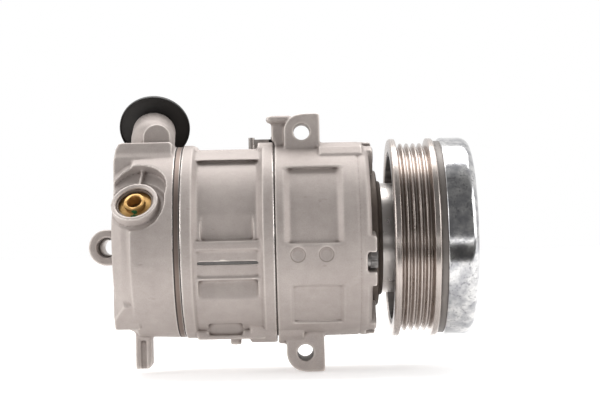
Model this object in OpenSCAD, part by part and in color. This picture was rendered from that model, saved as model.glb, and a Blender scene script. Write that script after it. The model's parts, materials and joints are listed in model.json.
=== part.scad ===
// Belt-driven air conditioning compressor: five pistons, swash plate, magnetic clutch.
// The shaft lies along X, and +X points to the pulley. The origin is on the shaft
// axis, at the middle of the belt grooves. +Z is up and +Y is the port side.

/* [Pulley and clutch] */
// Outer diameter of the grooved pulley
pulley_d = 110; // [108:0.5:112]
// Width of the grooved rim
pulley_w = 25; // [24.5:0.1:25]
// Number of ribs that the belt has
rib_count = 5; // [4:1:6]
// Distance from rib to rib
rib_pitch = 3.56; // [3.4:0.02:3.6]
// Gap that the armature closes
clutch_gap = 0.5; // [0.4:0.05:0.6]

/* [Housings] */
// Outer radius of the front housing
housing_r = 53.7; // [53:0.1:55]
// Front face of the front housing
housing_front = -24.2; // [-24.4:0.1:-24]
// Joint between the front housing and the cylinder block
block_front = -75.7; // [-76:0.1:-75.5]
// Joint between the cylinder block and the valve plate
block_rear = -125.8; // [-126.5:0.1:-125.8]
// Rear end of the rear cover
cover_rear = -162.5; // [-164:0.5:-161]

/* [Mechanism] */
// Radius of the circle that the cylinders lie on
piston_pcr = 31; // [30.9:0.05:31.1]
// Radius of a cylinder bore
bore_r = 15; // [14.9:0.05:15]
// Radius of the drive shaft
shaft_r = 8; // [7.9:0.05:8]
// Greatest tilt of the swash plate
tilt_max = 17; // [15:0.5:17]

/* [Mounting] */
// Radius of the two front mounting holes
ear_hole_r = 4.5; // [4.2:0.1:4.8]
// Radius of the rear mounting hole, inside its bush
bush_hole_r = 4.25; // [4.1:0.05:4.5]

/* [Hidden] */

// Cylinders and bolts, as angles about the shaft from +Y towards +Z
bore_angles = [148, 220, 292, 4, 76];
bolt_angles = [102, 194, 256, 328, 40];
bolt_pcr = 46.5;
bolt_r = 3;
bolt_seat = -26.9;
bolt_head_r = 5;
bolt_head_h = 5;

// Dowels between the front housing and the cylinder block
dowel_angles = [148, 310];
dowel_r = 1.5;
dowel_pcr = 50.8;

// Crankcase
crank_r = 48;
crank_front = -33.3;
cylinder_face = -82;
gasket_t = 0.5;

// Valve plate stack, from the block to the rear cover
block_gasket_t = 0.4;
reed_t = 0.3;
plate_t = 2.2;
reed_x = block_rear - block_gasket_t - reed_t;
plate_x = reed_x - plate_t;
cover_front = plate_x - gasket_t;
suction_port_r = 39;
discharge_port_r = 23;

// Swash plate: the tilt axis is parallel to Y, above the shaft
disc_x = -70.8;
disc_r = 41;
disc_t = 7;
pivot_up = 18;
pivot_fwd = pivot_up * tan(tilt_max / 2);
pivot_r = 2;
arm_r = 3.4;
arm_in = 4.7;
arm_out = 8;
lug_x = -43;
lug_t = 6.5;

// Shoes and pistons
ball_r = 8.5;
shoe_gap = 0.25;
socket_gap = 0.1;
socket_face = 6;
piston_gap = 0.05;
crown_gap = 5;

// Nose, coil and clutch
nose_r = 30.5;
nose_end = -2.6;
seat_r = 17.5;
seat_end = 17;
nose_bore_r = 12.5;
rim_in_r = 45.5;
drum_in_r = 27.5;
web_x = 12.5;
ring_x = 15.5;
face_x = 19;
ring_end = 32.3;
arm_x = face_x + clutch_gap;
arm_t = 4;
leaf_t = 1;
hub_x = arm_x + arm_t + leaf_t;
hub_t = 3.5;
hub_arms = [30, 150, 270];
rivet_r = 2.6;
rivet_pcr = 36;

// Ports, ears and the control valve
inlet_at = [-143.5, 12.9, 63.3];
inlet_tilt = 32;
inlet_r = 12.1;
inlet_bore_r = 8;
bend_y = 4;
bend_z = inlet_at[2] - (inlet_at[1] - bend_y) * tan(inlet_tilt);
rib_face_x = -140.4;
rib_face_z = 57.8;
clamp_down = -27;
clamp_face = 7;
clamp_deep = 16;
discharge_x = -146;
discharge_z = 14;
discharge_face = 57;
discharge_bore_r = 6;
top_ear = [-60.2, 59];
low_ear = [-60.5, -62];
rear_ear = [-168.4, -2.2];
valve_at = [-150, -45, 22.2];
valve_turn = [0, 50, -101];
valve_boss_r = 12.8;
valve_room_r = 16.2;
relief_face = 48;

// A straight side runs into a round this much inside it, so the two never just touch
inset = 0.12;

// A solid of revolution about X from points of [radius, x]
module turned(points) {
    rotate([0, 90, 0]) rotate_extrude($fn = 128) polygon(points);
}

// A ring or disc about X
module ring(x, length, outer, inner = 0) {
    translate([x, 0, 0]) rotate([0, 90, 0]) difference() {
        cylinder(h = length, r = outer, $fn = 128);
        if (inner > 0) translate([0, 0, -1]) cylinder(h = length + 2, r = inner, $fn = 128);
    }
}

// A straight rod along X at an angle and radius about the shaft
module rod(x, length, r, angle, radius) {
    translate([x, radius * cos(angle), radius * sin(angle)])
        rotate([0, 90, 0]) cylinder(h = length, r = r, $fn = 48);
}

// A straight rod along Y, from y0 to y1, at [x, z]
module cross_rod(at, y0, y1, r) {
    translate([at[0], y1, at[1]]) rotate([90, 0, 0]) cylinder(h = y1 - y0, r = r, $fn = 64);
}

// A box from one corner to the other
module block(low, high) {
    translate(low) cube(high - low);
}

// Children turned to an angle about the shaft, with local +Y pointing outwards
module around(angle) {
    rotate([angle, 0, 0]) children();
}

// Children at the mouth of the inlet, with +Y pointing out of it
module at_inlet() {
    translate(inlet_at) rotate([inlet_tilt, 0, 0]) children();
}

// Children at the mouth of the control valve bore, with +Z pointing out of it
module at_valve() {
    translate(valve_at) rotate(valve_turn) children();
}

// A wire spring about X, swept as one closed tube
module wire_spring(x, length, coil_r, wire_r, turns) {
    sides = 8;
    steps = turns * 20;
    rings = [for (i = [0:steps]) [for (j = [0:sides - 1])
        let(a = 18 * i, b = 360 * j / sides, r = coil_r + wire_r * cos(b))
        [x + wire_r + (length - 2 * wire_r) * i / steps + wire_r * sin(b), r * cos(a), r * sin(a)]]];
    points = [for (s = rings) for (p = s) p];
    walls = [for (i = [0:steps - 1]) for (j = [0:sides - 1])
        [i * sides + j, i * sides + (j + 1) % sides,
         (i + 1) * sides + (j + 1) % sides, (i + 1) * sides + j]];
    first = [for (j = [sides - 1:-1:0]) j];
    last = [for (j = [0:sides - 1]) steps * sides + j];
    polyhedron(points, concat([first], walls, [last]));
}

// ---------------------------------------------------------------- housings

// Boss and notch round each bolt head on the front flange
module bolt_boss() {
    intersection() {
        block([-28, 38, -13.5], [-21.8, housing_r + 2, 13.5]);
        ring(-31, 10, housing_r - 0.3);
    }
}

module bolt_notch() {
    block([bolt_seat, bolt_pcr, -5.4], [-20, housing_r + 4, 5.4]);
    translate([bolt_seat, bolt_pcr, 0]) rotate([0, 90, 0]) cylinder(h = 8, r = 5.4, $fn = 48);
}

// Mounting ear with a round top and one square corner towards the pulley
module ear(at, r, y0, y1, foot) {
    up = at[1] > 0 ? 1 : -1;
    cross_rod(at, y0, y1, r);
    block([at[0] - r + inset, y0, min(at[1], foot)], [at[0] + r + inset, y1, max(at[1], foot)]);
    block([at[0], y0, min(at[1] - 1, at[1] + up * (r + inset))],
          [at[0] + r + inset, y1, max(at[1] + 1, at[1] + up * (r + inset))]);
}

module front_housing() {
    color([0.72, 0.69, 0.68]) difference() {
        union() {
            turned([[0, block_front + gasket_t], [housing_r, block_front + gasket_t],
                    [housing_r, -31.5], [housing_r - 0.6, -30.5], [housing_r - 0.6, -29.8],
                    [housing_r, -29.2], [housing_r, -26.5], [housing_r - 2, housing_front],
                    [nose_r, housing_front], [nose_r, nose_end], [seat_r, nose_end],
                    [seat_r, seat_end], [0, seat_end]]);
            for (a = bolt_angles) around(a) bolt_boss();
            ear(top_ear, 9.8, -20, -3, 40);
            ear(low_ear, 10.4, -17, 21, -40);
            // Web behind the top ear, and the small locating peg on it
            block([-75.2, -14, 40], [-62, -3, 62]);
            block([-76.8, -14, 54.8], [-70, -3, 65]);
            translate([-66, -14, 66.3]) rotate([0, -90, 0]) cylinder(h = 11.5, r = 2.2, $fn = 32);
            translate([-77.5, -14, 66.3]) sphere(r = 2.2, $fn = 32);
            // Foot of the lower ear
            block([-75.2, -15, -57], [-50, 18, -40]);
            rod(block_front + gasket_t, 14, 11.5, 256, bolt_pcr - 0.4);
            top_pad();
        }
        // Crankcase and the bores through the nose
        turned([[0, -90], [crank_r, -90], [crank_r, crank_front - 3], [crank_r - 5, crank_front],
                [0, crank_front]]);
        ring(-50, 30, nose_bore_r);
        ring(-30, 60, 10.5);
        ring(-13, 40, nose_bore_r);
        ring(-3.4, 1.3, nose_bore_r + 1.1);
        // Groove for the coil circlip, and the one for the bearing circlip
        ring(-4, 1.2, 34, 28.9);
        ring(14.3, 1.3, 20, 16.2);
        for (a = bolt_angles) rod(-90, 80, bolt_r + 0.3, a, bolt_pcr);
        for (a = bolt_angles) around(a) bolt_notch();
        for (a = dowel_angles) rod(block_front - 5.5, 10.6, dowel_r, a, dowel_pcr);
        // Panels on the near side
        near_panel(-67.3, -42.4, -2, 38.5, 51.1, housing_r, 3.4);
        near_panel(-66, -41, -45, -24.5, 52.1, housing_r, 1.8);
        mirror([0, 1, 0]) near_panel(-67.3, -42.4, -30, 30, 52.1, housing_r, 2.4);
        // Moulded rounds from the ejector pins
        for (x = [-63.6, -48.6]) cross_rod([x, -8], -housing_r - 5, -52.1, 3.8);
        cross_rod(top_ear, -40, 20, ear_hole_r);
        cross_rod(low_ear, -40, 40, ear_hole_r);
    }
}

// Raised pad across the top, from the ear towards the pulley, with a stepped near edge
module top_pad() {
    intersection() {
        translate([-52, 0, 0]) rotate([90, 0, 90]) linear_extrude(25)
            polygon([[-29.5, 40], [-29.5, 46], [-25, 50.3], [-17, 53], [16, 53], [16, 40]]);
        translate([0, 40, 0]) rotate([90, 0, 0]) linear_extrude(80)
            polygon([[-51, 38], [-51, 60], [-34, 60], [-27.5, 50.5], [-27.5, 38]]);
    }
}

// Shallow sunk panel that follows the round wall, with sloped ends
module near_panel(x0, x1, z0, z1, floor_r, wall_r, slope) {
    intersection() {
        turned([[floor_r, x0], [floor_r, x1], [wall_r, x1 + slope], [wall_r + 9, x1 + slope],
                [wall_r + 9, x0 - slope], [wall_r, x0 - slope]]);
        block([x0 - 30, -80, z0], [x1 + 30, 0, z1]);
    }
}

module housing_gasket() {
    color([0.2, 0.17, 0.16]) difference() {
        ring(block_front, gasket_t, housing_r - 0.5, crank_r + 0.3);
        for (a = bolt_angles) rod(block_front - 1, 4, bolt_r + 0.3, a, bolt_pcr);
        for (a = dowel_angles) rod(block_front - 1, 4, dowel_r + 0.1, a, dowel_pcr);
    }
}

module cylinder_block() {
    color([0.74, 0.71, 0.7]) difference() {
        union() {
            turned([[0, block_rear], [53.7, block_rear], [53.7, -119.8], [51.7, -118.8],
                    [51.7, -83], [54, -81.8], [54, block_front], [0, block_front]]);
            // Bolt columns, and the lower boss that meets the front housing
            rod(block_rear, 50.1, 7, 102, bolt_pcr);
            rod(-90.5, 14.8, 11.5, 256, bolt_pcr - 0.4);
            rod(-84.5, 8.8, 8.6, 102, bolt_pcr);
            rod(block_rear, 50.1, 6.6, 328, bolt_pcr);
            rod(block_rear, 50.1, 6.6, 40, bolt_pcr);
            translate([-99, 0, -57.9]) cylinder(h = 14, r = 3.1, $fn = 32);
            // Pad for the harness clip
            translate([-88.5, 16, 44]) cylinder(h = 6.3, r = 4, $fn = 32);
            // Bottom wall between the flanges
            block([-119.4, -20, -53.7], [-82.4, 8, -49]);
            // Gas gallery along the far side
            block([block_rear, 40, 8], [block_front, 55, 22]);
        }
        for (a = bore_angles) rod(-140, 80, bore_r, a, piston_pcr);
        for (a = bolt_angles) rod(-140, 80, bolt_r + 0.3, a, bolt_pcr);
        for (a = dowel_angles) rod(block_front - 5.5, 10.6, dowel_r, a, dowel_pcr);
        ring(cylinder_face, 10, crank_r);
        ring(-140, 80, 10.5);
        ring(-119, 14.5, 12);
        ring(-91, 20, 13);
        // Flat along the top
        block([-117.6, -30, 50.4], [-84.7, 30, 60]);
        // Sunk panels between the two flanges, with flat floors where they are deep
        block_pocket(0, 44, 49.3);
        block([-114.8, -60, 0.4], [-87, -47.1, 18]);
        block_pocket(-19.5, -4.6, 50.2);
        block([-116.8, -60, -40], [-85, -41.2, -20.5]);
        block([-113, -60, -51.3], [-94.5, -18, -44.6]);
        mirror([0, 1, 0]) block_pocket(-16, 6, 49);
        mirror([0, 1, 0]) block_pocket(38, 47, 49.3);
        mirror([0, 1, 0]) block_pocket(-46, -37.5, 49.3);
    }
}

module block_pocket(z0, z1, floor_r) {
    near_panel(-116.8, -85, z0, z1, floor_r, 51.7, 1.8);
}

module block_gasket() {
    color([0.2, 0.18, 0.17]) difference() {
        ring(block_rear - block_gasket_t, block_gasket_t, 53);
        for (a = bore_angles) rod(-130, 10, bore_r + 0.4, a, piston_pcr);
        for (a = bolt_angles) rod(-130, 10, bolt_r + 0.3, a, bolt_pcr);
        ring(-130, 10, 12);
    }
}

// Spring steel disc with one inlet tongue over each cylinder
module suction_reeds() {
    color([0.55, 0.55, 0.57]) difference() {
        ring(reed_x, reed_t, 53);
        for (a = bolt_angles) rod(-130, 10, bolt_r + 0.3, a, bolt_pcr);
        for (a = bore_angles) around(a) {
            block([-130, 19, -3.4], [-120, 26.4, 3.4]);
            for (side = [-1, 1])
                block([-130, 28.5, side * 5.6 - 0.4], [-120, 44.5, side * 5.6 + 0.4]);
            block([-130, 43.7, -6], [-120, 44.5, 6]);
        }
        ring(-130, 10, 8);
    }
}

module valve_plate() {
    color([0.5, 0.47, 0.45]) difference() {
        ring(plate_x, plate_t, 53);
        for (a = bolt_angles) rod(-135, 20, bolt_r + 0.3, a, bolt_pcr);
        for (a = bore_angles) rod(-135, 20, 3.6, a, suction_port_r);
        for (a = bore_angles) rod(-135, 20, 2.8, a, discharge_port_r);
        ring(-135, 20, 2.6);
    }
}

// Star with one petal over each outlet
module star(x, t, r, w) {
    ring(x, t, 9);
    for (a = bore_angles) around(a) block([x, 0, -w + inset], [x + t, r - w, w - inset]);
    for (a = bore_angles) rod(x, t, w, a, r - w);
}

module discharge_reeds() {
    color([0.6, 0.6, 0.62]) difference() {
        star(plate_x - 0.4, 0.4, 27, 3.8);
        ring(-140, 20, 2.6);
    }
}

module reed_retainer() {
    color([0.45, 0.45, 0.47]) difference() {
        union() {
            star(plate_x - 2, 1.6, 26.4, 4.4);
            ring(plate_x - 4.6, 2.8, 4.6);
            ring(plate_x - 4.6, 6.4, 2.5);
        }
        for (a = bore_angles) rod(plate_x - 1, 0.6, 3.4, a, discharge_port_r + 1);
    }
}

module cover_gasket() {
    color([0.2, 0.17, 0.16]) difference() {
        ring(cover_front, gasket_t, 53, 29.4);
        ring(cover_front - 1, 3, 43.2, 32.2);
        for (a = bolt_angles) rod(-135, 20, bolt_r + 0.3, a, bolt_pcr);
    }
}

module rear_cover() {
    color([0.74, 0.71, 0.7]) difference() {
        union() {
            turned([[0, cover_front], [53, cover_front], [52.2, -152.2], [50.2, -153.4],
                    [48.8, -157], [45, cover_rear], [0, cover_rear]]);
            // Flat-topped block that carries the inlet port
            port_block();
            // Inlet: a round column that bends up and back to its mouth
            translate([inlet_at[0], bend_y, 48]) cylinder(h = bend_z - 48, r = inlet_r, $fn = 64);
            translate([inlet_at[0], bend_y, bend_z]) sphere(r = inlet_r + 0.2, $fn = 64);
            at_inlet() cross_rod([0, 0], (bend_y - inlet_at[1]) / cos(inlet_tilt), 0, inlet_r);
            // Flat face on the near side of the column
            cross_rod([rib_face_x, rib_face_z], -9.6, 10, 7.8);
            block([rib_face_x - 7.8 + inset, -9.6, 50], [rib_face_x + 7.8 - inset, 10, rib_face_z]);
            // Pad for the screw of the inlet clamp
            at_inlet() cross_rod([0, clamp_down], -15, clamp_face, 5.8);
            // Outlet boss and the pad for its clamp screw
            block([-158, 30, -18], [-133, discharge_face - 1.5, 27]);
            cross_rod([discharge_x, discharge_z], 30, discharge_face, 10.5);
            cross_rod([discharge_x, -8], 30, discharge_face, 8);
            // Rear mounting ear and its webs
            cross_rod(rear_ear, -17, 14, 9.9);
            block([rear_ear[0], -17, rear_ear[1] - 9.7], [-150, 14, rear_ear[1] + 9.7]);
            block([-161.5, -19, rear_ear[1] - 16], [-152, 16, rear_ear[1] + 16]);
            // Lower left pad, and the tab under the cover
            lower_pad();
            tab_under_cover();
            // Bosses at the ends of the through bolts
            for (a = bolt_angles) rod(-150, 150 + cover_front, 8, a, bolt_pcr - 1.8);
            // Pad under the relief valve
            cross_rod([-146, -31], 30, relief_face, 9);
            // Boss for the control valve
            at_valve() translate([0, 0, -26]) cylinder(h = 26, r = valve_boss_r, $fn = 64);
        }
        // Delivery chamber in the middle, and the inlet chamber round it
        ring(-136, 20, 29);
        ring(-135, 20, 43, 32.5);
        for (a = bolt_angles) rod(-143, 30, bolt_r + 0.1, a, bolt_pcr);
        // Inlet passage
        at_inlet() cross_rod([0, 0], -11, 5, inlet_bore_r);
        translate([-138, 6, 36]) cylinder(h = 22, r = 5, $fn = 48);
        at_inlet() cross_rod([0, clamp_down], clamp_face - clamp_deep, clamp_face + 12, 3.4);
        // Outlet passage and its clamp screw hole
        cross_rod([discharge_x, discharge_z], 22, 70, discharge_bore_r);
        translate([-134, 26, discharge_z]) rotate([0, -90, 0]) cylinder(h = 16, r = 4, $fn = 48);
        cross_rod([discharge_x, -8], 42, 70, 3.4);
        // Relief valve seat, threaded into the far side of the lower cover
        cross_rod([-146, -31], 27, 60, 5);
        // Control valve bore, with the groove for its circlip
        at_valve() control_valve_bore();
        // Rear mounting hole: the bush fills its far part
        cross_rod(rear_ear, -30, 30, 5.45);
    }
}

// Block on top of the cover, with slanted corners at its rear and near edges
module port_block() {
    intersection() {
        translate([0, 20, 0]) rotate([90, 0, 0]) linear_extrude(46)
            polygon([[-131, 20], [-131, 53.4], [-132.4, 54.8], [-160, 54.8], [-162, 51], [-163, 44], [-163, 20]]);
        translate([-170, 0, 0]) rotate([90, 0, 90]) linear_extrude(60)
            polygon([[-35, 20], [-32, 38], [-24, 49], [-22, 54.8], [16, 54.8], [21, 50], [21, 20]]);
    }
}

// Pad at the lower rear, bevelled along its upright edge and its lower edge
module lower_pad() {
    intersection() {
        translate([0, 0, -48]) linear_extrude(24)
            polygon([[-150, -38], [-157.6, -38], [-163.4, -31.4], [-163.4, 24], [-150, 24]]);
        translate([-170, 0, 0]) rotate([90, 0, 90]) linear_extrude(40)
            polygon([[-38, -24], [-38, -34.5], [-27, -46.8], [24, -46.8], [24, -24]]);
    }
}

module tab_under_cover() {
    difference() {
        block([-154.6, -7, -69.9], [-145.6, 7, -45]);
        translate([-144.5, 0, -71]) rotate([0, 40, 0]) cube([6, 20, 12], center = true);
        block([-151.6, -8, -70], [-148.6, -5.2, -54]);
    }
}

module control_valve_bore() {
    translate([0, 0, -8]) cylinder(h = 30, r = 10, $fn = 64);
    translate([0, 0, -12]) cylinder(h = 10, r = 9.6, $fn = 64);
    translate([0, 0, -34]) cylinder(h = 30, r = 8.1, $fn = 64);
    translate([0, 0, -2.9]) cylinder(h = 1.3, r = 10.9, $fn = 64);
    translate([0, 0, -0.9]) cylinder(h = 1, r1 = 10, r2 = 11, $fn = 64);
    // Room round the boss, which reaches further above it
    difference() {
        union() {
            translate([0, 0, -5.5]) cylinder(h = 24, r = valve_room_r, $fn = 64);
            translate([-8, 0, -4.2]) cylinder(h = 36, r = valve_room_r, $fn = 64);
        }
        translate([0, 0, -6]) cylinder(h = 6, r = valve_boss_r, $fn = 64);
        translate([-30, -0.8, -6]) cube([16, 1.6, 4]);
    }
}

// ---------------------------------------------------------------- fixed small parts

module through_bolts() {
    color([0.5, 0.5, 0.52]) for (a = bolt_angles) {
        difference() {
            rod(bolt_seat + 0.8, bolt_head_h, bolt_head_r, a, bolt_pcr);
            translate([bolt_seat + 3.2, bolt_pcr * cos(a), bolt_pcr * sin(a)])
                rotate([0, 90, 0]) cylinder(h = 6, r = 2.9, $fn = 6);
        }
        rod(-142, 142 + bolt_seat + 0.8, bolt_r, a, bolt_pcr);
    }
}

module bolt_washers() {
    color([0.6, 0.6, 0.6]) for (a = bolt_angles) difference() {
        rod(bolt_seat, 0.8, 5.2, a, bolt_pcr);
        rod(bolt_seat - 1, 4, bolt_r + 0.1, a, bolt_pcr);
    }
}

module dowel_pins() {
    color([0.6, 0.6, 0.62]) for (a = dowel_angles)
        rod(block_front - 5, 9.8, dowel_r - 0.02, a, dowel_pcr);
}

// Dark stepped plate on the nose
module dust_plate() {
    color([0.3, 0.27, 0.25]) turned([[nose_r + 0.05, housing_front], [37.6, housing_front],
        [37.6, -20.4], [37, -19.8], [32.6, -19.8], [32, -19.2], [31.4, -17.5],
        [nose_r + 0.05, -17.5]]);
}

// Needle bearing shell with its needles
module needle_bearing(x, length, outer) {
    needle_r = (outer - 0.9 - shaft_r) / 2 - 0.05;
    ring(x, length, outer, outer - 0.9);
    for (a = [0:24:336]) rod(x + 1, length - 2, needle_r, a, shaft_r + 0.05 + needle_r);
}

module front_needle_bearing() {
    color([0.65, 0.65, 0.67]) needle_bearing(-33, 12, nose_bore_r);
}

module rear_needle_bearing() {
    color([0.65, 0.65, 0.67]) needle_bearing(-118.5, 13, 12);
}

module shaft_seal() {
    color([0.1, 0.1, 0.1]) turned([[shaft_r + 0.05, -9], [shaft_r + 0.9, -7.8], [shaft_r + 3.6, -7.8],
        [shaft_r + 3.6, -10.8], [nose_bore_r, -12], [nose_bore_r, -4], [shaft_r + 2, -4],
        [shaft_r + 0.05, -8]]);
}

// A snap ring about X with a gap at the top
module snap_ring(x, t, outer, inner, gap_angle) {
    difference() {
        ring(x, t, outer, inner);
        around(gap_angle) block([x - 1, inner - 4, -2.2], [x + t + 1, outer + 4, 2.2]);
    }
}

// Snap rings that hold the shaft seal, the pulley bearing and the coil
module nose_circlips() {
    color([0.4, 0.4, 0.42]) {
        snap_ring(-3.3, 1.1, nose_bore_r + 1, 10.6, 90);
        snap_ring(14.4, 1.1, 19.6, 16.3, 90);
        snap_ring(-3.95, 1.1, 31.9, 29, 270);
    }
}

// Two washers with a row of rollers between them
module thrust_bearing() {
    color([0.65, 0.65, 0.67]) {
        ring(crank_front - 0.85, 0.8, 23, 14);
        ring(lug_x + lug_t + 0.05, 0.8, 23, 14);
        for (a = [0:18:342]) around(a) translate([(crank_front + lug_x + lug_t) / 2, 15, 0])
            rotate([-90, 0, 0]) cylinder(h = 7, r = 0.7, $fn = 24);
    }
}

module bearing_inner_race() {
    color([0.7, 0.7, 0.72]) turned([[seat_r, nose_end + 0.8], [21, nose_end + 0.8], [21, 4.2],
        [20.2, 5], [20, 6.2], [20.2, 7.4], [21, 8.2], [21, 14.2], [seat_r, 14.2]]);
}

module coil_shell() {
    color([0.35, 0.35, 0.36]) turned([[nose_r + 0.1, -6], [44.6, -6], [44.6, 11.5], [43, 11.5],
        [43, -4.4], [33.6, -4.4], [33.6, 11.5], [32, 11.5], [32, -4.4], [nose_r + 0.1, -4.4]]);
}

module coil_winding() {
    color([0.45, 0.2, 0.1]) ring(-4.3, 15, 42.9, 33.7);
}

module rear_ear_bush() {
    color([0.7, 0.7, 0.68]) difference() {
        cross_rod(rear_ear, -6, 14, 5.4);
        cross_rod(rear_ear, -10, 20, bush_hole_r);
        translate([rear_ear[0], -10, rear_ear[1] + 3]) cube([0.8, 40, 4]);
    }
}

// Clip on the far side that holds the harness: a post, an arm and a rubber tip
module harness_clip() {
    color([0.62, 0.6, 0.56]) {
        translate([-88.5, 16, 50.3]) cylinder(h = 8.2, r = 1.8, $fn = 32);
        block([-88.2, 14.6, 54.6], [-77.4, 17.4, 57.4]);
        translate([-87.5, 16.8, 0]) rotate([90, 0, 0]) linear_extrude(1.6)
            polygon([[0, 50.8], [1.5, 50.8], [7, 55], [0, 55]]);
        translate([-77.5, 16, 56]) rotate([0, 90, 0]) cylinder(h = 2.2, r = 2.9, $fn = 32);
    }
}

module relief_valve() {
    color([0.72, 0.6, 0.35]) difference() {
        union() {
            cross_rod([-146, -31], 30, relief_face, 4.9);
            translate([-146, relief_face + 6, -31]) rotate([90, 0, 0]) cylinder(h = 6, r = 8, $fn = 6);
            cross_rod([-146, -31], relief_face + 6, relief_face + 12, 4.6);
        }
        cross_rod([-146, -31], relief_face + 2, relief_face + 16, 2.2);
    }
}

// ---------------------------------------------------------------- control valve and caps

module control_valve_body() {
    color([0.78, 0.6, 0.32]) at_valve() difference() {
        union() {
            translate([0, 0, -11]) cylinder(h = 7.5, r = 9.3, $fn = 64);
            translate([0, 0, -3.6]) cylinder(h = 3.2, r = 5.6, $fn = 64);
            translate([0, 0, -32.5]) cylinder(h = 22, r = 7.9, $fn = 64);
        }
        translate([0, 0, -9]) cylinder(h = 12, r = 4, $fn = 64);
        translate([0, 0, -31]) cylinder(h = 40, r = 1.6, $fn = 32);
        for (z = [-14.5, -21, -27.5]) translate([0, 0, z]) difference() {
            cylinder(h = 2, r = 9, $fn = 64);
            translate([0, 0, -1]) cylinder(h = 4, r = 6.5, $fn = 64);
        }
        for (z = [-17.5, -24]) translate([0, 0, z]) rotate([90, 0, 0])
            cylinder(h = 20, r = 1.2, center = true, $fn = 24);
    }
}

module control_valve_rings() {
    color([0.1, 0.1, 0.1]) at_valve() for (z = [-14.5, -21, -27.5]) translate([0, 0, z + 1])
        rotate_extrude($fn = 64) translate([7.25, 0]) circle(r = 0.74, $fn = 24);
}

module control_valve_circlip() {
    color([0.15, 0.14, 0.14]) at_valve() difference() {
        translate([0, 0, -2.8]) cylinder(h = 1.1, r = 10.8, $fn = 64);
        translate([0, 0, -4]) cylinder(h = 4, r = 9.1, $fn = 64);
        translate([4, -3.5, -4]) cube([8, 7, 4]);
    }
}

module control_valve_rod() {
    color([0.6, 0.6, 0.62]) at_valve() {
        translate([0, 0, -30]) cylinder(h = 22, r = 1.5, $fn = 32);
        translate([0, 0, -8.2]) cylinder(h = 1.6, r = 3, $fn = 32);
    }
}

// Black push-in caps: a wide brim outside and a plug in the port
module suction_cap() {
    color([0.06, 0.055, 0.055]) at_inlet() rotate([-90, 0, 0])
        rotate_extrude($fn = 128) polygon([[0, -2], [inlet_bore_r - 0.15, -2],
            [inlet_bore_r - 0.15, 0.3], [9.5, 0.3], [9.5, 3.8], [19.3, 3.8], [19.3, 2.9], [20, 2.9],
            [20, 5], [19.2, 5.8], [12, 5.8], [11, 8], [0, 8]]);
}

module discharge_cap() {
    color([0.06, 0.055, 0.055]) translate([discharge_x, discharge_face, discharge_z])
        rotate([-90, 0, 0]) rotate_extrude($fn = 96)
        polygon([[0, -3], [discharge_bore_r - 0.15, -3], [discharge_bore_r - 0.15, 0.3],
            [13.2, 0.3], [13.2, 2.6], [12.4, 3.4], [8, 3.4], [7, 5], [0, 5]]);
}

// ---------------------------------------------------------------- pulley and clutch

// Half width of the ribbed part of the rim
ribs_half = rib_count * rib_pitch / 2;
groove_deep = 5.4;
// The rib crests stand this far below the rim's edges
crest_drop = 2.6;
rim_r = pulley_d / 2;

module grooved_pulley() {
    color([0.75, 0.75, 0.77]) turned(concat(
        [[48.05, -pulley_w / 2], [rim_r - 0.8, -pulley_w / 2], [rim_r, -pulley_w / 2 + 0.8],
         [rim_r, -ribs_half - 0.9]],
        [for (i = [0:rib_count - 1]) each let(x = -ribs_half + i * rib_pitch) [
            [rim_r - (i == 0 ? 0 : crest_drop), x + (i == 0 ? 0 : 0.35)],
            [rim_r - groove_deep, x + rib_pitch / 2 - 0.25],
            [rim_r - groove_deep, x + rib_pitch / 2 + 0.25],
            [rim_r - (i == rib_count - 1 ? 0 : crest_drop),
             x + rib_pitch - (i == rib_count - 1 ? 0 : 0.35)]]],
        [[rim_r, ribs_half + 0.9], [rim_r, pulley_w / 2 - 0.8], [rim_r - 0.8, pulley_w / 2 - 0.1],
         [48.05, pulley_w / 2 - 0.1]]));
}

// Curved slots that steer the field of the coil
module field_slots(x, length, r, w, count, span, phase) {
    for (i = [0:count - 1]) translate([x, 0, 0]) rotate([0, 90, 0])
        rotate([0, 0, phase + 360 * i / count]) rotate_extrude(angle = span, $fn = 128)
        translate([r, 0]) square([w, length]);
}

module rotor_drum() {
    color([0.25, 0.23, 0.22]) difference() {
        turned([[drum_in_r, nose_end + 0.7], [31, nose_end + 0.7], [31, web_x], [rim_in_r, web_x],
                [rim_in_r, -pulley_w / 2 + 0.5], [48, -pulley_w / 2 + 0.5], [48, web_x],
                [53.5, web_x], [53.5, ring_x], [drum_in_r, ring_x]]);
        field_slots(web_x - 1, 6, 36, 2.4, 6, 46, 0);
    }
}

module friction_ring() {
    color([0.8, 0.8, 0.82]) difference() {
        turned([[drum_in_r + 1, ring_x], [54.4, ring_x], [rim_r, ring_x + 0.6],
                [rim_r, ring_end - 5.5], [54.3, ring_end - 3], [52.4, ring_end - 0.9],
                [50.2, ring_end], [49.2, ring_end], [48.8, ring_end - 0.6], [48.8, face_x],
                [drum_in_r + 1, face_x]]);
        field_slots(ring_x - 1, 6, 36, 2.4, 6, 46, 0);
    }
}

module bearing_outer_race() {
    color([0.7, 0.7, 0.72]) turned([[24, nose_end + 0.8], [drum_in_r - 0.02, nose_end + 0.8],
        [drum_in_r - 0.02, 14.2], [24, 14.2], [24, 8.2], [24.8, 7.4], [25, 6.2], [24.8, 5], [24, 4.2]]);
}

module bearing_balls() {
    color([0.8, 0.8, 0.82]) for (a = [0:36:324])
        translate([6.2, 22.5 * cos(a), 22.5 * sin(a)]) sphere(r = 2.35, $fn = 48);
}

module drive_shaft() {
    color([0.7, 0.7, 0.72]) difference() {
        turned([[0, -121], [shaft_r - 1, -121], [shaft_r, -120], [shaft_r, -85.2], [shaft_r - 0.6, -85.2],
                [shaft_r - 0.6, -84], [shaft_r, -84], [shaft_r, 16], [7, 16], [7, 26.2], [6.4, 26.8],
                [0, 26.8]]);
        ring(10, 30, 2.6);
    }
}

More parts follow.
